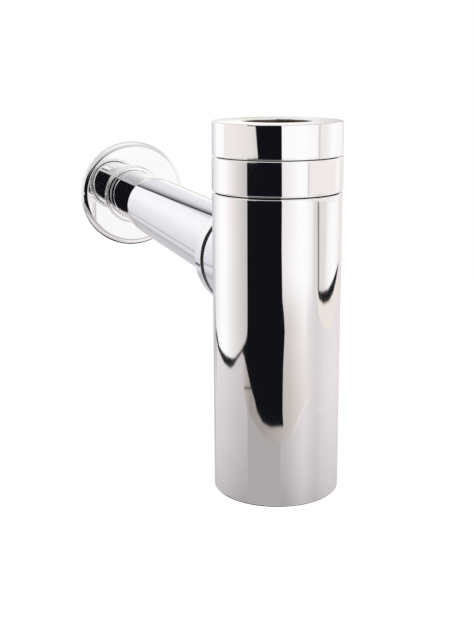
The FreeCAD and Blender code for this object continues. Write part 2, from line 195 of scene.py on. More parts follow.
def turning_tree():
    """Turns a section about its axis. Each vertex of the section is (radius, on saddle, station)."""
    tree = bpy.data.node_groups.new("turned_piece", "GeometryNodeTree")
    face = tree.interface
    face.new_socket("Section", in_out="INPUT", socket_type="NodeSocketGeometry")
    face.new_socket("Steps Around", in_out="INPUT", socket_type="NodeSocketInt")
    lengths = ("Thread Radius", "Thread Depth", "Thread Pitch", "Thread From", "Thread To", "Saddle Radius")
    for name in lengths:
        face.new_socket(name, in_out="INPUT", socket_type="NodeSocketFloat")
    face.new_socket("Finish", in_out="INPUT", socket_type="NodeSocketMaterial")
    face.new_socket("Piece", in_out="OUTPUT", socket_type="NodeSocketGeometry")
    given = tree.nodes.new("NodeGroupInput").outputs
    steps = Wire(tree, given["Steps Around"])

    # A flat grid with a row for each vertex of the section, and a column for each step around
    count = add_node(tree, "GeometryNodeAttributeDomainSize", Geometry=given["Section"])
    rows = Wire(tree, count.outputs["Point Count"])
    grid = add_node(
        tree, "GeometryNodeMeshGrid", Size_X=1.0, Size_Y=1.0, Vertices_X=rows, Vertices_Y=steps + 1.0)
    place = tree.nodes.new("GeometryNodeInputPosition")
    grid_x, grid_y = parts(tree, place.outputs[0])[:2]
    row = ((grid_x + 0.5) * (rows - 1.0)).math("ROUND")
    part_turn = grid_y + 0.5
    angle = part_turn * (2.0 * math.pi)

    sample = tree.nodes.new("GeometryNodeSampleIndex")
    sample.data_type = "FLOAT_VECTOR"
    tree.links.new(given["Section"], sample.inputs["Geometry"])
    value_in = [slot for slot in sample.inputs if slot.name == "Value" and slot.enabled][0]
    tree.links.new(tree.nodes.new("GeometryNodeInputPosition").outputs[0], value_in)
    tree.links.new(row.socket, sample.inputs["Index"])
    found = [slot for slot in sample.outputs if slot.enabled][0]
    radius, on_saddle, station = parts(tree, found)

    # Right-hand thread, cut into the rows that lie on the thread's radius
    root = 0.15
    crest = 0.8
    pitch = Wire(tree, given["Thread Pitch"])
    start = Wire(tree, given["Thread From"])
    end = Wire(tree, given["Thread To"])
    on_thread = radius.math("COMPARE", given["Thread Radius"], SAME_RADIUS)
    run_out = station.within(start, start + pitch, end - pitch, end)
    ridge = ((station / pitch - part_turn).math("FRACT") * 2.0).math("PINGPONG", 1.0).rise(root, crest)
    valley = on_thread * run_out * (-ridge + 1.0)
    cut_radius = radius - valley * Wire(tree, given["Thread Depth"])

    # Rows marked as on the saddle count their station from the round wall that the piece sits on
    across = cut_radius * angle.math("COSINE")
    wall = Wire(tree, given["Saddle Radius"])
    saddle = (wall * wall - across * across).math("MAXIMUM", 0.0).math("SQRT")
    along = station + saddle * on_saddle
    point = add_node(tree, "ShaderNodeCombineXYZ", X=across, Y=cut_radius * angle.math("SINE"), Z=along)

    mesh = grid.outputs["Mesh"]
    moved = add_node(tree, "GeometryNodeSetPosition", Geometry=mesh, Position=point.outputs[0])
    closed = add_node(tree, "GeometryNodeMergeByDistance", Geometry=moved.outputs[0], Distance=MERGE)
    whole = add_node(tree, "GeometryNodeRealizeInstances", Geometry=closed.outputs[0])
    dressed = add_node(tree, "GeometryNodeSetMaterial", Geometry=whole.outputs[0], Material=given["Finish"])
    tree.links.new(dressed.outputs[0], tree.nodes.new("NodeGroupOutput").inputs[0])
    return tree


TURNING = turning_tree()
INPUTS = {item.name: item.identifier for item in TURNING.interface.items_tree if item.in_out == "INPUT"}
TO_WALL = Matrix.Translation((0, 0, -OUTLET_DEPTH * MM)) @ Matrix.Rotation(math.radians(-90), 4, "X")
DOWN = Matrix.Rotation(math.radians(180), 4, "Y")


def eased(corners, closed):
    """The section line with every corner rounded by its own radius: (radius, station, rounding)."""
    line = []
    count = len(corners)
    for i, (radius, station, rounding) in enumerate(corners):
        here = Vector((radius, station))
        if rounding == 0 or (not closed and i in (0, count - 1)):
            line.append(here)
            continue
        back = Vector(corners[i - 1][:2]) - here
        ahead = Vector(corners[(i + 1) % count][:2]) - here
        back_length = back.length
        ahead_length = ahead.length
        back.normalize()
        ahead.normalize()
        half = back.angle(ahead) / 2
        reach = rounding / math.tan(half)
        centre = here + (back + ahead).normalized() * (rounding / math.sin(half))
        first = here + back * reach - centre
        last = here + ahead * reach - centre
        sweep = math.pi - 2 * half
        steps = max(2, math.ceil(sweep / ARC_STEP))
        if back_length - reach > 3 * EDGE_HOLD:
            line.append(here + back * (reach + EDGE_HOLD))
        for k in range(steps + 1):
            share = k / steps
            weights = math.sin((1 - share) * sweep), math.sin(share * sweep)
            line.append(centre + (first * weights[0] + last * weights[1]) / math.sin(sweep))
        if ahead_length - reach > 3 * EDGE_HOLD:
            line.append(here + ahead * (reach + EDGE_HOLD))
    return line


def threaded(line, thread):
    """The section line with close rows where a thread will be cut."""
    rows = []
    for here, ahead in zip(line, line[1:] + line[:1]):
        rows.append(here)
        on_crest = max(abs(here.x - thread.radius), abs(ahead.x - thread.radius)) < ON_CREST
        if on_crest and max(here.y, ahead.y) > thread.start and min(here.y, ahead.y) < thread.end:
            steps = math.ceil((ahead - here).length / THREAD_ROW)
            rows += [here.lerp(ahead, k / steps) for k in range(1, steps)]
    return rows


def finish_mesh(mesh):
    """Closes seams, points the faces outwards and keeps only real edges sharp."""
    work = bmesh.new()
    work.from_mesh(mesh)
    bmesh.ops.remove_doubles(work, verts=work.verts, dist=MERGE)
    bmesh.ops.dissolve_degenerate(work, edges=work.edges, dist=MERGE)
    bmesh.ops.recalc_face_normals(work, faces=work.faces)
    for face in work.faces:
        face.smooth = True
    for edge in work.edges:
        edge.smooth = edge.calc_face_angle(0.0) < SHARP
    work.to_mesh(mesh)
    work.free()


def evaluated_mesh(piece):
    """The piece's mesh with its modifiers worked in, and the modifiers gone."""
    graph = bpy.context.evaluated_depsgraph_get()
    mesh = bpy.data.meshes.new_from_object(piece.evaluated_get(graph))
    mesh.name = piece.name
    piece.modifiers.clear()
    piece.data = mesh
    return mesh


def turned(name, node, body, finish, corners, lay=DOWN, closed=True, thread=None, saddle=0.0, foot=(),
           cutter=None):
    """Makes a turned piece in place of a CAD node. Its sizes are in millimetres.

    Foot is rows of (radius, lift) that follow the round wall of the saddle's radius.
    """
    line = eased(corners, closed)
    if thread:
        line = threaded(line, thread)
    section = [(point.x * MM, 0.0, point.y * MM) for point in line]
    section = [(radius * MM, 1.0, lift * MM) for radius, lift in foot] + section
    if closed:
        section.append(section[0])
    mesh = bpy.data.meshes.new(name)
    mesh.from_pydata(section, [], [])
    piece = bpy.data.objects.new(name, mesh)
    scene.collection.objects.link(piece)
    turning = piece.modifiers.new("turning", "NODES")
    turning.node_group = TURNING
    helix = thread or NO_THREAD
    settings = {
        "Steps Around": STEPS_AROUND,
        "Thread Radius": helix.radius * MM,
        "Thread Depth": helix.depth * MM,
        "Thread Pitch": helix.pitch * MM,
        "Thread From": helix.start * MM,
        "Thread To": helix.end * MM,
        "Saddle Radius": saddle * MM,
        "Finish": finish,
    }
    for key, value in settings.items():
        turning[INPUTS[key]] = value
    mesh = evaluated_mesh(piece)
    mesh.transform(lay)
    if cutter:
        cut = piece.modifiers.new("cut", "BOOLEAN")
        cut.object = cutter
        cut.solver = "EXACT"
        mesh = evaluated_mesh(piece)
        bpy.data.objects.remove(cutter)
    finish_mesh(mesh)
    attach(piece, body)
    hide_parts(node)


def cutting_tool(work):
    """An object to cut with, from a worked mesh."""
    mesh = bpy.data.meshes.new("cutter")
    work.to_mesh(mesh)
    work.free()
    tool = bpy.data.objects.new("cutter", mesh)
    scene.collection.objects.link(tool)
    return tool


def round_cutter(radius, length, lay):
    """A plain round tool that starts at the axis it crosses."""
    work = bmesh.new()
    bmesh.ops.create_cone(
        work, cap_ends=True, segments=96, radius1=radius * MM, radius2=radius * MM, depth=length * MM,
        matrix=lay @ Matrix.Translation((0, 0, length * MM / 2)))
    return cutting_tool(work)


def slot_cutter(length, width, depth, face):
    """A box tool for the slot across the plug's face, its short ends rounded by a cutter's path."""
    nearly_half = 0.49
    work = bmesh.new()
    place = Matrix.Translation((0, 0, -face * MM))
    size = Matrix.Diagonal((length * MM, width * MM, 2 * depth * MM, 1))
    bmesh.ops.create_cube(work, size=1.0, matrix=place @ size)
    upright = [edge for edge in work.edges if abs(edge.verts[0].co.z - edge.verts[1].co.z) > MM]
    rounding = width * MM * nearly_half
    bmesh.ops.bevel(work, geom=upright, offset=rounding, segments=8, affect="EDGES", profile=0.5)
    return cutting_tool(work)


def new_material(name):
    """A material with an empty tree, its shader, and the Object coordinates that its patterns follow."""
    material = bpy.data.materials.new(name)
    material.use_nodes = True
    tree = material.node_tree
    tree.nodes.clear()
    shader = tree.nodes.new("ShaderNodeBsdfPrincipled")
    out = tree.nodes.new("ShaderNodeOutputMaterial")
    tree.links.new(shader.outputs[0], out.inputs["Surface"])
    where = tree.nodes.new("ShaderNodeTexCoord").outputs["Object"]
    return material, tree, shader, where


def noise(tree, where, scale, detail=2.0, stretch=(1.0, 1.0, 1.0)):
    """Noise over Object coordinates, stretched along the axes."""
    spread = add_node(tree, "ShaderNodeMapping", Vector=where, Scale=stretch)
    node = add_node(tree, "ShaderNodeTexNoise", Vector=spread.outputs[0], Scale=scale, Detail=detail)
    return Wire(tree, node.outputs[0])


def blend(tree, share, first, second):
    """The first colour, turning to the second as the share goes to 1. Each is a socket or (r, g, b)."""
    mix = tree.nodes.new("ShaderNodeMix")
    mix.data_type = "RGBA"
    mix.clamp_factor = True
    feed(tree, mix.inputs[MIX_SHARE], share)
    for slot, colour in ((mix.inputs[MIX_FIRST], first), (mix.inputs[MIX_SECOND], second)):
        if isinstance(colour, tuple):
            colour = (*colour, 1.0)
        feed(tree, slot, colour)
    return mix.outputs[MIX_RESULT]


def roughened(tree, shader, height, strength, distance):
    """Raises the surface a little by a height."""
    bump = add_node(tree, "ShaderNodeBump", Height=height, Strength=strength, Distance=distance)
    tree.links.new(bump.outputs[0], shader.inputs["Normal"])


def plating(tree, shader, where):
    """The roughness and colour that all chrome starts from, with a faint haze where it was handled."""
    haze_roughness = 0.022
    shader.inputs["Metallic"].default_value = 1.0
    haze = noise(tree, where, scale=38.0, detail=4.0).rise(0.35, 0.75)
    colour = blend(tree, haze, (0.975, 0.975, 0.978), (0.955, 0.955, 0.96))
    return haze * haze_roughness, colour


def mirror_chrome():
    """Polished plating: a mirror with a faint haze and fine polishing marks."""
    material, tree, shader, where = new_material("mirror_chrome")
    smooth = 0.012
    mark_roughness = 0.014
    haze, colour = plating(tree, shader, where)
    marks = noise(tree, where, scale=900.0, stretch=(1.0, 1.0, 0.08))
    feed(tree, shader.inputs["Base Color"], colour)
    feed(tree, shader.inputs["Roughness"], haze + marks * mark_roughness + smooth)
    return material


def rough_chrome_painted_shade(tree, shader, where, *shade_patches):
    """Plating with rougher patches painted darker as shade, each of them a mask and its colour."""
    smooth = 0.018
    dull_roughness = 0.3
    haze, colour = plating(tree, shader, where)
    roughness = haze + smooth
    # Each patch colour is painted shade, laid over the plating colour.
    for mask, dull_and_shade in shade_patches:
        colour = blend(tree, mask, colour, dull_and_shade)
        roughness = roughness.math("MAXIMUM", haze + mask * dull_roughness + smooth)
    feed(tree, shader.inputs["Base Color"], colour)
    feed(tree, shader.inputs["Roughness"], roughness)


def bored_chrome():
    """The inlet ring's plating; just inside its bore, below a thin lip, the bore is rougher and painted
    dark brown as shade inside the hole.
    """
    material, tree, shader, where = new_material("bored_chrome")
    skin = 0.15
    skin_fade = 0.1
    lip = 0.7
    lip_fade = 0.4
    x, y, z = parts(tree, where)
    radius = (x * x + y * y).math("SQRT")
    in_hole = radius.fall((TAIL_BORE + skin) * MM, (TAIL_BORE + skin + skin_fade) * MM)
    below_lip = z.fall(-(lip + lip_fade) * MM, -lip * MM)
    # Painted shade: the bore below the lip is dark brown.
    rough_chrome_painted_shade(tree, shader, where, (in_hole * below_lip, (0.2, 0.16, 0.12)))
    return material


def joint_chrome():
    """The outlet joint's plating, rougher in the groove and on the threads, with painted shade there: mid
    grey in the groove and near black on the threads.
    """
    material, tree, shader, where = new_material("joint_chrome")
    inset = 0.05
    fade = 0.1
    chamfer = 0.3
    shade_reach = 0.6
    shade_reach_fade = 0.2
    x, y, z = parts(tree, where)
    z = z + OUTLET_DEPTH * MM
    radius = (x * x + z * z).math("SQRT")
    past_boss = y.rise((BOSS_END - inset - fade) * MM, (BOSS_END - inset) * MM)
    before_nut = y.fall((NUT_START + inset) * MM, (NUT_START + inset + fade) * MM)
    below_edge = radius.fall((BOSS - chamfer) * MM, (BOSS - chamfer / 2) * MM)
    on_thread = radius.fall((OUTLET_THREAD + shade_reach) * MM, (OUTLET_THREAD + shade_reach + shade_reach_fade) * MM)
    # Painted shade: the groove between the boss and the nut turns mid grey, and the threads past the boss
    # turn near black.
    groove = past_boss * before_nut * below_edge
    thread = past_boss * on_thread
    rough_chrome_painted_shade(tree, shader, where, (groove, (0.33, 0.33, 0.34)), (thread, (0.13, 0.125, 0.12)))
    return material


def turned_brass(name, bright, dull_and_shade, roughness):
    """Bare brass with a patina and the rings that the lathe tool left."""
    material, tree, shader, where = new_material(name)
    patina = noise(tree, where, scale=60.0, detail=5.0).rise(0.3, 0.75)
    feed(tree, shader.inputs["Base Color"], blend(tree, patina, bright, dull_and_shade))
    shader.inputs["Metallic"].default_value = 1.0
    feed(tree, shader.inputs["Roughness"], patina * 0.14 + roughness)
    rings = add_node(tree, "ShaderNodeTexWave", Vector=where, Scale=650.0, Distortion=1.5, Detail=1.0)
    rings.bands_direction = "Z"
    roughened(tree, shader, rings.outputs[1], strength=0.12, distance=0.00004)
    return material


def black_rubber():
    """Moulded rubber with a dusty bloom."""
    material, tree, shader, where = new_material("black_rubber")
    bloom = noise(tree, where, scale=180.0, detail=6.0).rise(0.35, 0.8)
    grain = noise(tree, where, scale=1400.0, detail=3.0)
    colour = blend(tree, bloom, (0.022, 0.022, 0.023), (0.055, 0.054, 0.052))
    feed(tree, shader.inputs["Base Color"], colour)
    feed(tree, shader.inputs["Roughness"], bloom * 0.2 + 0.55)
    roughened(tree, shader, grain, strength=0.2, distance=0.00005)
    return material


def moulded_plastic():
    """White ring plastic with a slight grain."""
    material, tree, shader, where = new_material("moulded_plastic")
    cloud = noise(tree, where, scale=90.0, detail=4.0)
    grain = noise(tree, where, scale=1100.0, detail=3.0)
    colour = blend(tree, cloud, (0.80, 0.80, 0.77), (0.88, 0.88, 0.86))
    feed(tree, shader.inputs["Base Color"], colour)
    feed(tree, shader.inputs["Roughness"], cloud * 0.15 + 0.32)
    roughened(tree, shader, grain, strength=0.12, distance=0.00004)
    return material


CHROME = mirror_chrome()
BORED_CHROME = bored_chrome()
JOINT_CHROME = joint_chrome()
BRASS = turned_brass(
    "turned_brass", bright=(0.80, 0.63, 0.33), dull_and_shade=(0.68, 0.50, 0.24), roughness=0.2)
# Brass painted near black: painted shade for the slit between the union ring and the bottle, where this
# thread shows.
SEAM_SHADE_BRASS = turned_brass(
    "seam_shade_brass", bright=(0.07, 0.055, 0.04), dull_and_shade=(0.035, 0.03, 0.025), roughness=0.35)
RUBBER = black_rubber()
PLASTIC = moulded_plastic()


def top_rings():
    """Inlet nut and union nut: the two chrome rings above the bottle."""
    thread_bore = NECK_THREAD + RUN_GAP
    top_wall = 3.0
    chamfer = 0.3
    turned("inlet_ring", "inlet_nut", "inlet_nut", BORED_CHROME, (
        (TAIL_BORE, 0.0, 0.5),
        (BODY, 0.0, 0.6),
        (BODY, SEAM - chamfer, 0.2),
        (BODY - chamfer, SEAM, 0.1),
        (thread_bore, SEAM, 0.3),
        (thread_bore, top_wall, 0.0),
        (TAIL_BORE, top_wall, 0.2),
    ))
    swell = 0.15
    rim_bore = BODY_NECK + RUN_GAP
    lower_chamfer = 0.8
    turned("union_ring", "union_nut", "union_nut", CHROME, (
        (thread_bore, UNION_TOP, 0.3),
        (BODY + swell - chamfer, UNION_TOP, 0.1),
        (BODY + swell, UNION_TOP + chamfer, 0.2),
        (BODY + swell, UNION_END - lower_chamfer, 0.3),
        (BODY + swell - lower_chamfer, UNION_END, 0.2),
        (rim_bore, UNION_END, 0.3),
        (rim_bore, NECK_FLANGE_TOP, 0.0),
        (thread_bore, NECK_FLANGE_TOP, 0.2),
    ))


def inlet_neck():
    """Turned brass neck with its thread, flange and conical seat, and the tube that dips into the water."""
    seat_mouth = 19.65
    seat_foot = 17.95
    seat_end = 9.65
    stem = 19.2
    stem_end = 44.0
    socket = 16.15
    groove = 17.9
    groove_top = 36.0
    groove_end = 38.05
    turned("neck", "inlet_neck", "inlet_neck", BRASS, (
        (seat_mouth, NECK_TOP, 0.15),
        (NECK_THREAD, NECK_TOP, 0.6),
        (NECK_THREAD, NECK_FLANGE_TOP, 0.0),
        (NECK_FLANGE, NECK_FLANGE_TOP, 0.3),
        (NECK_FLANGE, NECK_FLANGE_END, 0.3),
        (stem, NECK_FLANGE_END, 0.4),
        (stem, stem_end, 0.4),
        (socket, stem_end, 0.3),
        (socket, groove_end, 0.0),
        (groove, groove_end, 0.0),
        (groove, groove_top, 0.0),
        (socket, groove_top, 0.0),
        (socket, DIP_TOP, 0.0),
        (DIP_BORE, DIP_TOP, 0.2),
        (DIP_BORE, TAIL_STOP, 0.2),
        (TAIL_BORE, TAIL_STOP, 0.0),
        (TAIL_BORE, seat_end, 0.1),
        (seat_foot, seat_end, 0.0),
    ), thread=Thread(NECK_THREAD, depth=1.0, pitch=2.0, start=6.6, end=17.5))
    turned("water_tube", "dip_tube", "inlet_neck", BRASS, (
        (DIP_BORE, DIP_TOP, 0.2),
        (DIP_TUBE, DIP_TOP, 0.2),
        (DIP_TUBE, DIP_END, 0.2),
        (DIP_BORE, DIP_END, 0.2),
    ))


def bottle():
    """The bottle's tube with its threaded rim, base ring and screwed plug."""
    above_hole = 42.0
    below_hole = 102.0
    past_wall = 40.0
    top_chamfer = 0.4
    foot_chamfer = 0.9
    turned("bottle_tube", "trap_body", "trap_body", CHROME, (
        (BODY_BORE, SHOULDER, 0.1),
        (BODY - top_chamfer, SHOULDER, 0.1),
        (BODY, SHOULDER + top_chamfer, 0.2),
        (BODY, above_hole, 0.0),
        (BODY, below_hole, 0.0),
        (BODY, TRAP_HEIGHT - foot_chamfer, 0.4),
        (BODY - foot_chamfer, TRAP_HEIGHT, 0.3),
        (BODY_BORE, TRAP_HEIGHT, 0.1),
        (BODY_BORE, below_hole, 0.0),
        (BODY_BORE, above_hole, 0.0),
    ), cutter=round_cutter(OUTLET_BORE, past_wall, TO_WALL))

    rim_bore = 23.5
    rim_top = 25.45
    rim_end = 38.25
    # This rim's near-black brass is painted shade for the slit below the union ring.
    turned("bottle_rim", "body_collar", "trap_body", SEAM_SHADE_BRASS, (
        (rim_bore, rim_top, 0.4),
        (BODY_NECK, rim_top, 0.6),
        (BODY_NECK, SHOULDER, 0.0),
        (INSERT, SHOULDER, 0.1),
        (INSERT, rim_end, 0.3),
        (rim_bore, rim_end, 0.3),
    ), thread=Thread(BODY_NECK, depth=1.0, pitch=2.0, start=26.0, end=32.6))

    plug_bore = PLUG_THREAD + RUN_GAP
    head_bore = PLUG_HEAD + RUN_GAP
    base_top = 174.6
    groove = 22.1
    groove_top = 176.8
    turned("bottle_base", "base_ring", "trap_body", CHROME, (
        (plug_bore, base_top, 0.3),
        (INSERT, base_top, 0.3),
        (INSERT, TRAP_HEIGHT, 0.2),
        (head_bore, TRAP_HEIGHT, 0.3),
        (head_bore, PLUG_SEAT, 0.1),
        (groove, PLUG_SEAT, 0.1),
        (groove, groove_top, 0.0),
        (plug_bore, groove_top, 0.1),
    ))

    plug_top = 174.9
    face = 181.3
    chamfer = 0.4
    turned("cleaning_plug", "base_plug", "base_plug", CHROME, (
        (0.0, plug_top, 0.0),
        (PLUG_THREAD, plug_top, 0.5),
        (PLUG_THREAD, PLUG_SEAT, 0.0),
        (PLUG_HEAD, PLUG_SEAT, 0.1),
        (PLUG_HEAD, face - chamfer, 0.2),
        (PLUG_HEAD - chamfer, face, 0.2),
        (0.0, face, 0.0),
    ), closed=False, thread=Thread(PLUG_THREAD, depth=0.7, pitch=1.5, start=175.3, end=PLUG_SEAT),
        cutter=slot_cutter(length=30.0, width=3.0, depth=1.5, face=face))


def outlet_joint():
    """The side boss on the bottle with its braze, and the nut that grips the sleeve."""
    socket = SLEEVE + RUN_GAP
    chamfer = 0.3
    brazing_gap = 0.1
    braze_lift = 0.02
    braze = 1.2
    braze_steps = 7
    foot = [(radius, brazing_gap) for radius in (socket, 22.5, 25.0, BOSS)]
    for k in range(braze_steps + 1):
        turn = math.radians(90) * k / braze_steps
        foot.append((BOSS + braze * (1 - math.sin(turn)), braze_lift + braze * (1 - math.cos(turn))))
    seat_mouth = 22.75
    seat_foot = 21.35
    seat_end = 40.3
    turned("side_boss", "outlet_boss", "trap_body", JOINT_CHROME, (
        (BOSS, BOSS_END - chamfer, 0.1),
        (BOSS - chamfer, BOSS_END, 0.1),
        (OUTLET_THREAD, BOSS_END, 0.0),
        (OUTLET_THREAD, OUTLET_THREAD_END, 0.3),
        (seat_mouth, OUTLET_THREAD_END, 0.1),
        (seat_foot, seat_end, 0.0),
        (socket, seat_end, 0.1),
    ), lay=TO_WALL, thread=Thread(OUTLET_THREAD, depth=0.6, pitch=2.0, start=37.0, end=43.6),
        saddle=BODY, foot=foot)

    thread_bore = OUTLET_THREAD + RUN_GAP
    nut_bore = 20.5
    end_wall = 46.95
    turned("outlet_ring", "outlet_nut", "outlet_nut", JOINT_CHROME, (
        (thread_bore, NUT_START, 0.3),
        (BOSS - chamfer, NUT_START, 0.1),
        (BOSS, NUT_START + chamfer, 0.2),
        (BOSS, NUT_END, 1.8),
        (nut_bore, NUT_END, 0.3),
        (nut_bore, end_wall, 0.1),
        (thread_bore, end_wall, 0.0),
    ), lay=TO_WALL)


def outlet_pipe():
    """The two telescopic tubes and the flange that covers the hole in the wall."""
    groove = 19.2
    groove_start = 236.3
    groove_end = 237.5
    turned("outer_tube", "outlet_sleeve", "outlet_sleeve", CHROME, (
        (SLEEVE_BORE, SLEEVE_START, 0.3),
        (SLEEVE, SLEEVE_START, 0.4),
        (SLEEVE, SLEEVE_END, 0.7),
        (SLEEVE_BORE, SLEEVE_END, 0.3),
        (SLEEVE_BORE, groove_end, 0.1),
        (groove, groove_end, 0.0),
        (groove, groove_start, 0.0),
        (SLEEVE_BORE, groove_start, 0.1),
    ), lay=TO_WALL)
    turned("inner_tube", "wall_tube", "wall_tube", CHROME, (
        (TUBE_BORE, TUBE_START, 0.2),
        (TUBE, TUBE_START, 0.4),
        (TUBE, TUBE_END, 0.4),
        (TUBE_BORE, TUBE_END, 0.2),
    ), lay=TO_WALL)

    hub_bore = TUBE + RUN_GAP
    bevel = 0.2
    dish = 36.7
    dish_floor = 313.8
    hub_back = 316.0
    ring_groove = 19.5
    ring_start = 311.8
    ring_end = 313.3
    turned("rosette", "wall_flange", "wall_flange", CHROME, (
        (hub_bore, HUB_FRONT + bevel, 0.0),
        (hub_bore + bevel, HUB_FRONT, 0.0),
        (HUB, HUB_FRONT, 1.2),
        (HUB, FLANGE_FACE, 0.6),
        (FLANGE, FLANGE_FACE, 4.4),
        (FLANGE, WALL, 0.3),
        (dish, WALL, 0.2),
        (dish, dish_floor, 2.9),
        (HUB, dish_floor, 0.5),
        (HUB, hub_back, 0.2),
        (hub_bore, hub_back, 0.2),
        (hub_bore, ring_end, 0.1),
        (ring_groove, ring_end, 0.0),
        (ring_groove, ring_start, 0.0),
        (hub_bore, ring_start, 0.1),
    ), lay=TO_WALL)


def seals():
    """Rubber and plastic rings keep their solids and get their finish."""
    for part in frame["record"]["subparts"]:
        finish = {"rubber": RUBBER, "white_plastic": PLASTIC}.get(part["material_slot"])
        if finish:
            node = frame["nodes"][part["node"]]
            node.data.materials.clear()
            node.data.materials.append(finish)


def camera():
    """The photograph's view, for a frame 632 pixels tall."""
    frame_height = 632.0
    focal_pixels = 1074.74
    place = Vector((-0.1771, -0.4795, 0.03085))
    heading = Vector((0.3107, 0.9505, 0.0)).normalized()
    tilt = 0.240166
    roll = 0.00416
    forward = heading * math.cos(tilt) - Vector((0, 0, 1)) * math.sin(tilt)
    level = forward.cross(Vector((0, 0, 1))).normalized()
    right = level * math.cos(roll) + forward.cross(level) * math.sin(roll)
    up = right.cross(forward)
    data = bpy.data.cameras.new("camera")
    data.sensor_width = 36.0
    data.lens = focal_pixels / frame_height * data.sensor_width
    data.clip_start = 0.01
    view = bpy.data.objects.new("camera", data)
    view.matrix_world = Matrix.Translation(place) @ Matrix((right, up, -forward)).transposed().to_4x4()
    scene.collection.objects.link(view)
    scene.camera = view


def plated(screen):
    """The light that gives a screen tone (0 to 255 a channel) once the plating has reflected it."""
    kept = 0.965
    return tuple(min(((value / 255 + 0.055) / 1.055) ** 2.4 / kept, 1.0) for value in screen)


def ramp(amount, places, colours):
    """A colour ramp over a wire, with its stops at the given places."""
    node = amount.tree.nodes.new("ShaderNodeValToRGB")
    span = places[-1] - places[0]
    feed(amount.tree, node.inputs[0], (amount - places[0]) / span)
    points = node.color_ramp.elements
    while len(points) < len(places):
        points.new(0.5)
    for point, place, colour in zip(points, places, colours):
        point.position = (place - places[0]) / span
        point.color = (*colour, 1.0)
    return node.outputs[0]


def shades(amount, tint, *stops):
    """A surface lighter or darker along a wire: (place, screen tone) stops. White parts lose the tint."""
    pure_white = 255
    full_tint = 235
    colours = []
    for place, level in stops:
        share = min((pure_white - level) / (pure_white - full_tint), 1.0)
        colours.append(plated([level * (1 - share + share * part) for part in tint]))
    return ramp(amount, [place for place, level in stops], colours)


def course(amount, *stops):
    """A number along a wire, from (place, value) stops."""
    places = [place for place, value in stops]
    values = [value for place, value in stops]
    least = min(values)
    span = max(values) - least
    colour = ramp(amount, places, [[(value - least) / span] * 3 for value in values])
    level = add_node(amount.tree, "ShaderNodeSeparateColor", Color=colour).outputs[0]
    return Wire(amount.tree, level) * span + least


def dimmed(tree, colour, amount):
    """A colour made lighter or darker by a wire."""
    node = tree.nodes.new("ShaderNodeVectorMath")
    node.operation = "SCALE"
    feed(tree, node.inputs[0], colour)
    feed(tree, node.inputs["Scale"], amount)
    return node.outputs[0]


class Sky:
    """The studio's light by direction, laid on in layers. All angles are in degrees.

    Side goes round from the viewer's side and rise goes up from level.
    Off_pipe is the angle from the outlet's axis, and round_pipe goes round that axis.
    """

    def __init__(self, tree):
        x, y, z = parts(tree, tree.nodes.new("ShaderNodeTexCoord").outputs["Generated"])
        self.tree = tree
        self.side = x.math("ARCTAN2", -y).math("DEGREES")
        self.rise = z.math("ARCSINE").math("DEGREES")
        self.off_pipe = y.math("ARCCOSINE").math("DEGREES")
        self.round_pipe = z.math("ARCTAN2", x).math("DEGREES")
        self.colour = (1.0, 1.0, 1.0)

    def over(self, below, above, mask):
        """One colour over another where the mask is 1. The upper one is a socket, or a screen tone."""
        if isinstance(above, tuple):
            above = plated(above)
        return blend(self.tree, mask, below, above)

    def lay(self, above, mask):
        """Lays a colour over the sky where the mask is 1."""
        self.colour = self.over(self.colour, above, mask)


WHITE = (255, 255, 255)
BLACK = (17, 18, 23)
ROSY = (1.0, 0.973, 0.978)
WARM = (1.0, 0.976, 0.968)
TAN = (1.0, 0.957, 0.935)
COOL = (0.978, 0.976, 1.0)

# Rises that the top ring's lower edge and the middle ring's lower edge mirror to the camera
SEAM_RISE = -5.5
SHOULDER_RISE = -7.7
CRISP = 0.1


def floor_light(sky):
    """The floor: bright below the trap, dark far behind it, and grey in front of the camera."""
    side = sky.side
    rise = sky.rise
    floor_tone = shades(
        side, ROSY, (-180, 216), (-158, 222), (-126, 217), (-100, 207), (-80, 199), (-5, 198), (30, 229),
        (58, 215), (75, 225), (100, 230), (180, 222))
    depth = course(
        rise, (-90, 1.1), (-60, 1.2), (-40, 1.25), (-33, 1.1), (-27, 0.6), (-23.7, 0.66), (-22.4, 0.8),
        (-20.5, 0.9), (-17, 1.0), (90, 1.0))
    sky.colour = dimmed(sky.tree, floor_tone, depth)
    far_side = side.math("ABSOLUTE").rise(112.0, 130.0)
    sky.lay((30, 30, 32), far_side * rise.within(-82.0, -74.0, -33.0, -26.0))
    in_front = side.within(-74.3, -73.0, -14.0, -10.0)
    sky.lay((173, 168, 168), in_front * rise.rise(-34.0, -24.0))


def floor_edge(sky):
    """The lit edge where the floor turns up behind the camera, and the wall above it."""
    side = sky.side
    rise = sky.rise
    turn_up = course(
        side, (-83, -17.7), (-73, -18.76), (-64, -19.2), (-53, -19.75), (-40, -20.2), (-17, -20.5),
        (-4, -20.35), (12, -19.85), (24, -19.1), (33, -18.47), (40, -18.26), (53, -18.89), (64, -18.72),
        (97, -18.6))
    wall_tone = shades(
        side, TAN, (-83, 195), (-68, 157), (-45, 160), (-20, 176), (2, 192), (17, 209), (42, 225))
    wall_light = shades(side, WARM, (-14, 204), (-4, 213), (5, 219), (15, 232), (30, 247), (42, 240))
    wall_tone = sky.over(wall_tone, wall_light, rise.rise(-20.5, -11.0) * side.rise(-14.0, -8.0))
    above_turn = (rise - turn_up).rise(-0.12, 0.12)
    sky.lay(wall_tone, above_turn * side.within(-84.0, -80.0, 30.0, 42.0))
    lit_edge = (rise - turn_up).near(0.0, 0.16)
    sky.lay((238, 233, 226), lit_edge * side.within(5.0, 25.0, 40.0, 44.0))
    sky.lay((229, 224, 222), lit_edge * side.within(50.0, 60.0, 85.0, 100.0) * 0.7)


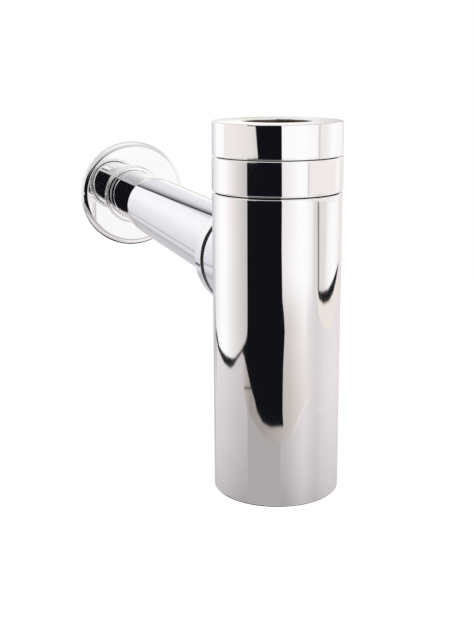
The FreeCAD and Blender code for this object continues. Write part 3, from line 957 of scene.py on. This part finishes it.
def skirting(sky):
    """The pale skirting below the right panel."""
    foot = course(
        sky.side, (56, -12.8), (61, -13.68), (69, -14.16), (80, -14.37), (95, -14.2), (110, -13.67),
        (120, -12.7))
    above_foot = (sky.rise - foot).rise(-0.08, 0.08)
    sky.lay((235, 227, 219), above_foot * sky.side.within(57.2, 57.8, 117.0, 119.0))


def black_flag(sky):
    """The flag beside the camera, and the dark edge along the foot of both panels that runs on into it.

    Returns the flag's right edge.
    """
    side = sky.side
    rise = sky.rise
    dark_foot = course(
        side, (-180, -13.5), (-172, -14.2), (-152, -15.5), (-130, -16.25), (-113, -16.53), (-105, -16.45),
        (-91, -15.92), (-84, -15.7), (-80, -15.95), (-73.5, -16.74), (-66.6, -17.6), (-60, -18.2),
        (-55, -18.85), (-44, -19.45), (-30, -19.68), (-6, -19.62), (0, -12.0), (57, -12.0), (58.6, -12.6),
        (61, -12.85), (72, -13.09), (86, -12.96), (100, -12.51), (111, -11.87), (123, -11.0), (180, -9.0))
    right_edge = course(
        rise, (-20, -6.4), (-19.4, -7.4), (-18.7, -8.9), (-16.4, -7.9), (-15.3, -6.3), (-14.5, -5.6),
        (-13.7, -7.2), (-12.9, -10.0), (-10.2, -11.8), (-7.7, -11.8), (-5.4, -12.4), (-2, -13.5),
        (0, -13.5))
    dark_side = (side - right_edge).fall(-0.5, 0.5) + side.within(57.2, 57.8, 118.0, 123.0)
    flag_top = rise.fall(26.0, 30.0)
    sky.lay(BLACK, (rise - dark_foot).rise(-0.07, 0.07) * dark_side * flag_top)
    stray = rise.near(-17.6, 0.13) * side.within(-81.5, -79.0, -67.0, -65.0)
    sky.lay((70, 70, 72), stray)
    return right_edge


def side_panels(sky, flag_right):
    """The panel on each side and the wall behind the camera. Each ring shows them at tones of its own."""
    side = sky.side
    rise = sky.rise
    on_top = rise.rise(SEAM_RISE, SEAM_RISE + CRISP)
    on_middle = rise.within(SHOULDER_RISE, SHOULDER_RISE + CRISP, SEAM_RISE, SEAM_RISE + CRISP)
    on_bottle = rise.fall(SHOULDER_RISE, SHOULDER_RISE + CRISP)
    panel_tone = shades(
        side, WARM, (-180, 230), (-152, 241), (-140, 255), (-124, 254), (-105, 234), (-87, 211), (-74, 194),
        (-6, 238), (18, 254), (32, 255), (42, 244), (50, 218), (72, 224), (83, 246), (96, 255), (111, 247),
        (124, 232), (138, 238), (150, 205), (162, 205), (174, 232), (180, 230))
    top_tone = shades(
        side, WARM, (-180, 236), (-150, 255), (-128, 255), (-125, 237), (-95, 235), (-63, 226), (-56, 216),
        (-12, 249), (30, 255), (50, 247), (60, 235), (74, 239), (90, 255), (128, 246), (138, 240),
        (150, 200), (160, 200), (172, 236), (180, 236))
    middle_tone = (240, 232, 232)
    panel_tone = sky.over(panel_tone, middle_tone, on_middle * side.within(35.0, 37.0, 97.0, 110.0))
    panel_tone = sky.over(panel_tone, top_tone, on_top)

    panel_foot = course(
        side, (-180, -12.6), (-166, -14.0), (-149, -15.3), (-137, -15.62), (-124, -15.86), (-108, -16.02),
        (-100, -15.98), (-87, -15.6), (-77, -15.1), (-73.5, -14.7), (-72, -12.8), (56, -12.8), (58, -12.36),
        (68, -12.45), (84, -12.3), (96, -11.92), (111, -11.34), (120, -10.9), (150, -10.5), (180, -12.6))
    softness = side.within(-74.0, -73.0, 56.0, 57.5) * 1.5 + 0.07
    on_panel = ((rise - panel_foot) / softness).rise(-1.0, 1.0)
    slanted = on_top * rise.fall(-2.6, -2.4)
    flag_left = slanted * (rise * -2.73 + 5.26) - 73.5
    not_flag = (side - flag_left).fall(-0.5, 0.5) + (side - flag_right).rise(-0.5, 0.5)
    sky.lay(panel_tone, on_panel * not_flag)

    # Dark joint between the right panel and the wall behind the camera
    middle_joint = 35.0
    top_joint = 57.0
    joint = rise * -0.6 + 51.7
    joint = joint + (-joint + middle_joint) * on_middle
    joint = joint + (-joint + top_joint) * on_top
    sky.lay((90, 87, 86), (side - joint).near(0.0, 3.0) * on_panel * (on_bottle * 0.55 + 0.35))


def ceiling(sky):
    """Grey above the panels, darker towards the viewer's left, and bright overhead."""
    sky.lay((216, 214, 211), sky.rise.rise(14.0, 40.0))
    dusk = sky.rise.within(4.0, 18.0, 24.0, 36.0) * sky.side.within(-40.0, -25.0, -6.0, 26.0)
    sky.lay((152, 152, 158), dusk)
    sky.lay((246, 246, 246), sky.rise.rise(50.0, 75.0))


def far_wall(sky):
    """The far wall as the pipe shows it, and its tan foot, which only the top face's far edge shows."""
    off_pipe = sky.off_pipe
    round_pipe = sky.round_pipe
    around = shades(
        round_pipe, COOL, (-180, 236), (-151, 226), (-139, 221), (-124, 224), (-117, 212), (-109, 184),
        (-98, 200), (-57, 206), (-20, 238), (0, 252), (22, 252), (42, 236), (75, 224), (90, 214), (98, 219),
        (108, 245), (145, 248), (160, 245), (180, 236))
    upper_joint = round_pipe - ((-off_pipe + 18.0) * 5.6 + 91.0)
    shadow = course(
        upper_joint, (-30, 0.0), (-24, 0.04), (-16, 0.17), (-8, 0.52), (-3, 0.9), (0, 0.97), (30, 0.97))
    around = sky.over(around, (14, 14, 18), shadow * upper_joint.fall(0.0, 4.5))
    on_nut = off_pipe.rise(18.9, 19.2)
    lower_joint = round_pipe.near(-133.5, 6.0)
    around = sky.over(around, (40, 40, 44), lower_joint * (on_nut * 0.65 + 0.3))
    sky.lay(around, off_pipe.fall(21.0, 25.0))

    brim = sky.rise - ((sky.side - 160.9) * 0.02 + 3.33)
    foot = brim.fall(-0.02, 0.02) * sky.rise.rise(1.0, 1.5)
    sky.lay((196, 184, 170), foot * sky.side.within(150.0, 153.0, 168.0, 171.0))


def studio():
    """A white studio: panels, a black flag beside the camera, and a floor that falls to grey."""
    world = bpy.data.worlds.new("studio")
    scene.world = world
    world.use_nodes = True
    tree = world.node_tree
    tree.nodes.clear()
    sky = Sky(tree)
    floor_light(sky)
    floor_edge(sky)
    skirting(sky)
    flag_right = black_flag(sky)
    side_panels(sky, flag_right)
    ceiling(sky)
    far_wall(sky)
    lens = tree.nodes.new("ShaderNodeLightPath")
    sky.lay(WHITE, Wire(tree, lens.outputs["Is Camera Ray"]))
    back = add_node(tree, "ShaderNodeBackground", Color=sky.colour, Strength=1.0)
    out = tree.nodes.new("ShaderNodeOutputWorld")
    tree.links.new(back.outputs[0], out.inputs["Surface"])


def black_card():
    """The near end of the black flag, which the pipe's far end sees from further round than the bottle."""
    mesh = bpy.data.meshes.new("black_card")
    place = -0.35
    outline = (
        (-0.34, -0.256), (-0.056, -0.256), (-0.056, -0.2), (-0.077, -0.16), (-0.086, -0.1), (-0.088, 0.25),
        (-0.34, 0.25))
    mesh.from_pydata([(x, place, z) for x, z in outline], [], [range(len(outline))])
    card = bpy.data.objects.new("black_card", mesh)
    scene.collection.objects.link(card)
    card.visible_camera = False
    card.visible_diffuse = False
    card.visible_shadow = False
    material, tree, shader, where = new_material("black_cloth")
    weave = noise(tree, where, scale=400.0)
    colour = blend(tree, weave, (0.0066, 0.0066, 0.0105), (0.0086, 0.0086, 0.0129))
    feed(tree, shader.inputs["Base Color"], colour)
    shader.inputs["Roughness"].default_value = 0.95
    shader.inputs["Specular IOR Level"].default_value = 0.0
    mesh.materials.append(material)


def floor():
    """A wide pale floor, far below the hanging trap."""
    level = -1.5
    half = 6.0
    mesh = bpy.data.meshes.new("floor")
    corners = [(-half, -half, level), (half, -half, level), (half, half, level), (-half, half, level)]
    mesh.from_pydata(corners, [], [(0, 1, 2, 3)])
    ground = bpy.data.objects.new("floor", mesh)
    scene.collection.objects.link(ground)
    ground.visible_glossy = False
    material, tree, shader, where = new_material("pale_floor")
    grain = noise(tree, where, scale=6.0, detail=3.0)
    feed(tree, shader.inputs["Base Color"], blend(tree, grain, (0.86, 0.86, 0.86), (0.88, 0.88, 0.88)))
    shader.inputs["Roughness"].default_value = 0.9
    lens = tree.nodes.new("ShaderNodeLightPath")
    shader.inputs["Emission Color"].default_value = (1.0, 1.0, 1.0, 1.0)
    feed(tree, shader.inputs["Emission Strength"], Wire(tree, lens.outputs["Is Camera Ray"]) * 0.4)
    mesh.materials.append(material)


top_rings()
inlet_neck()
bottle()
outlet_joint()
outlet_pipe()
seals()
camera()
studio()
black_card()
floor()
scene.view_settings.view_transform = "Standard"
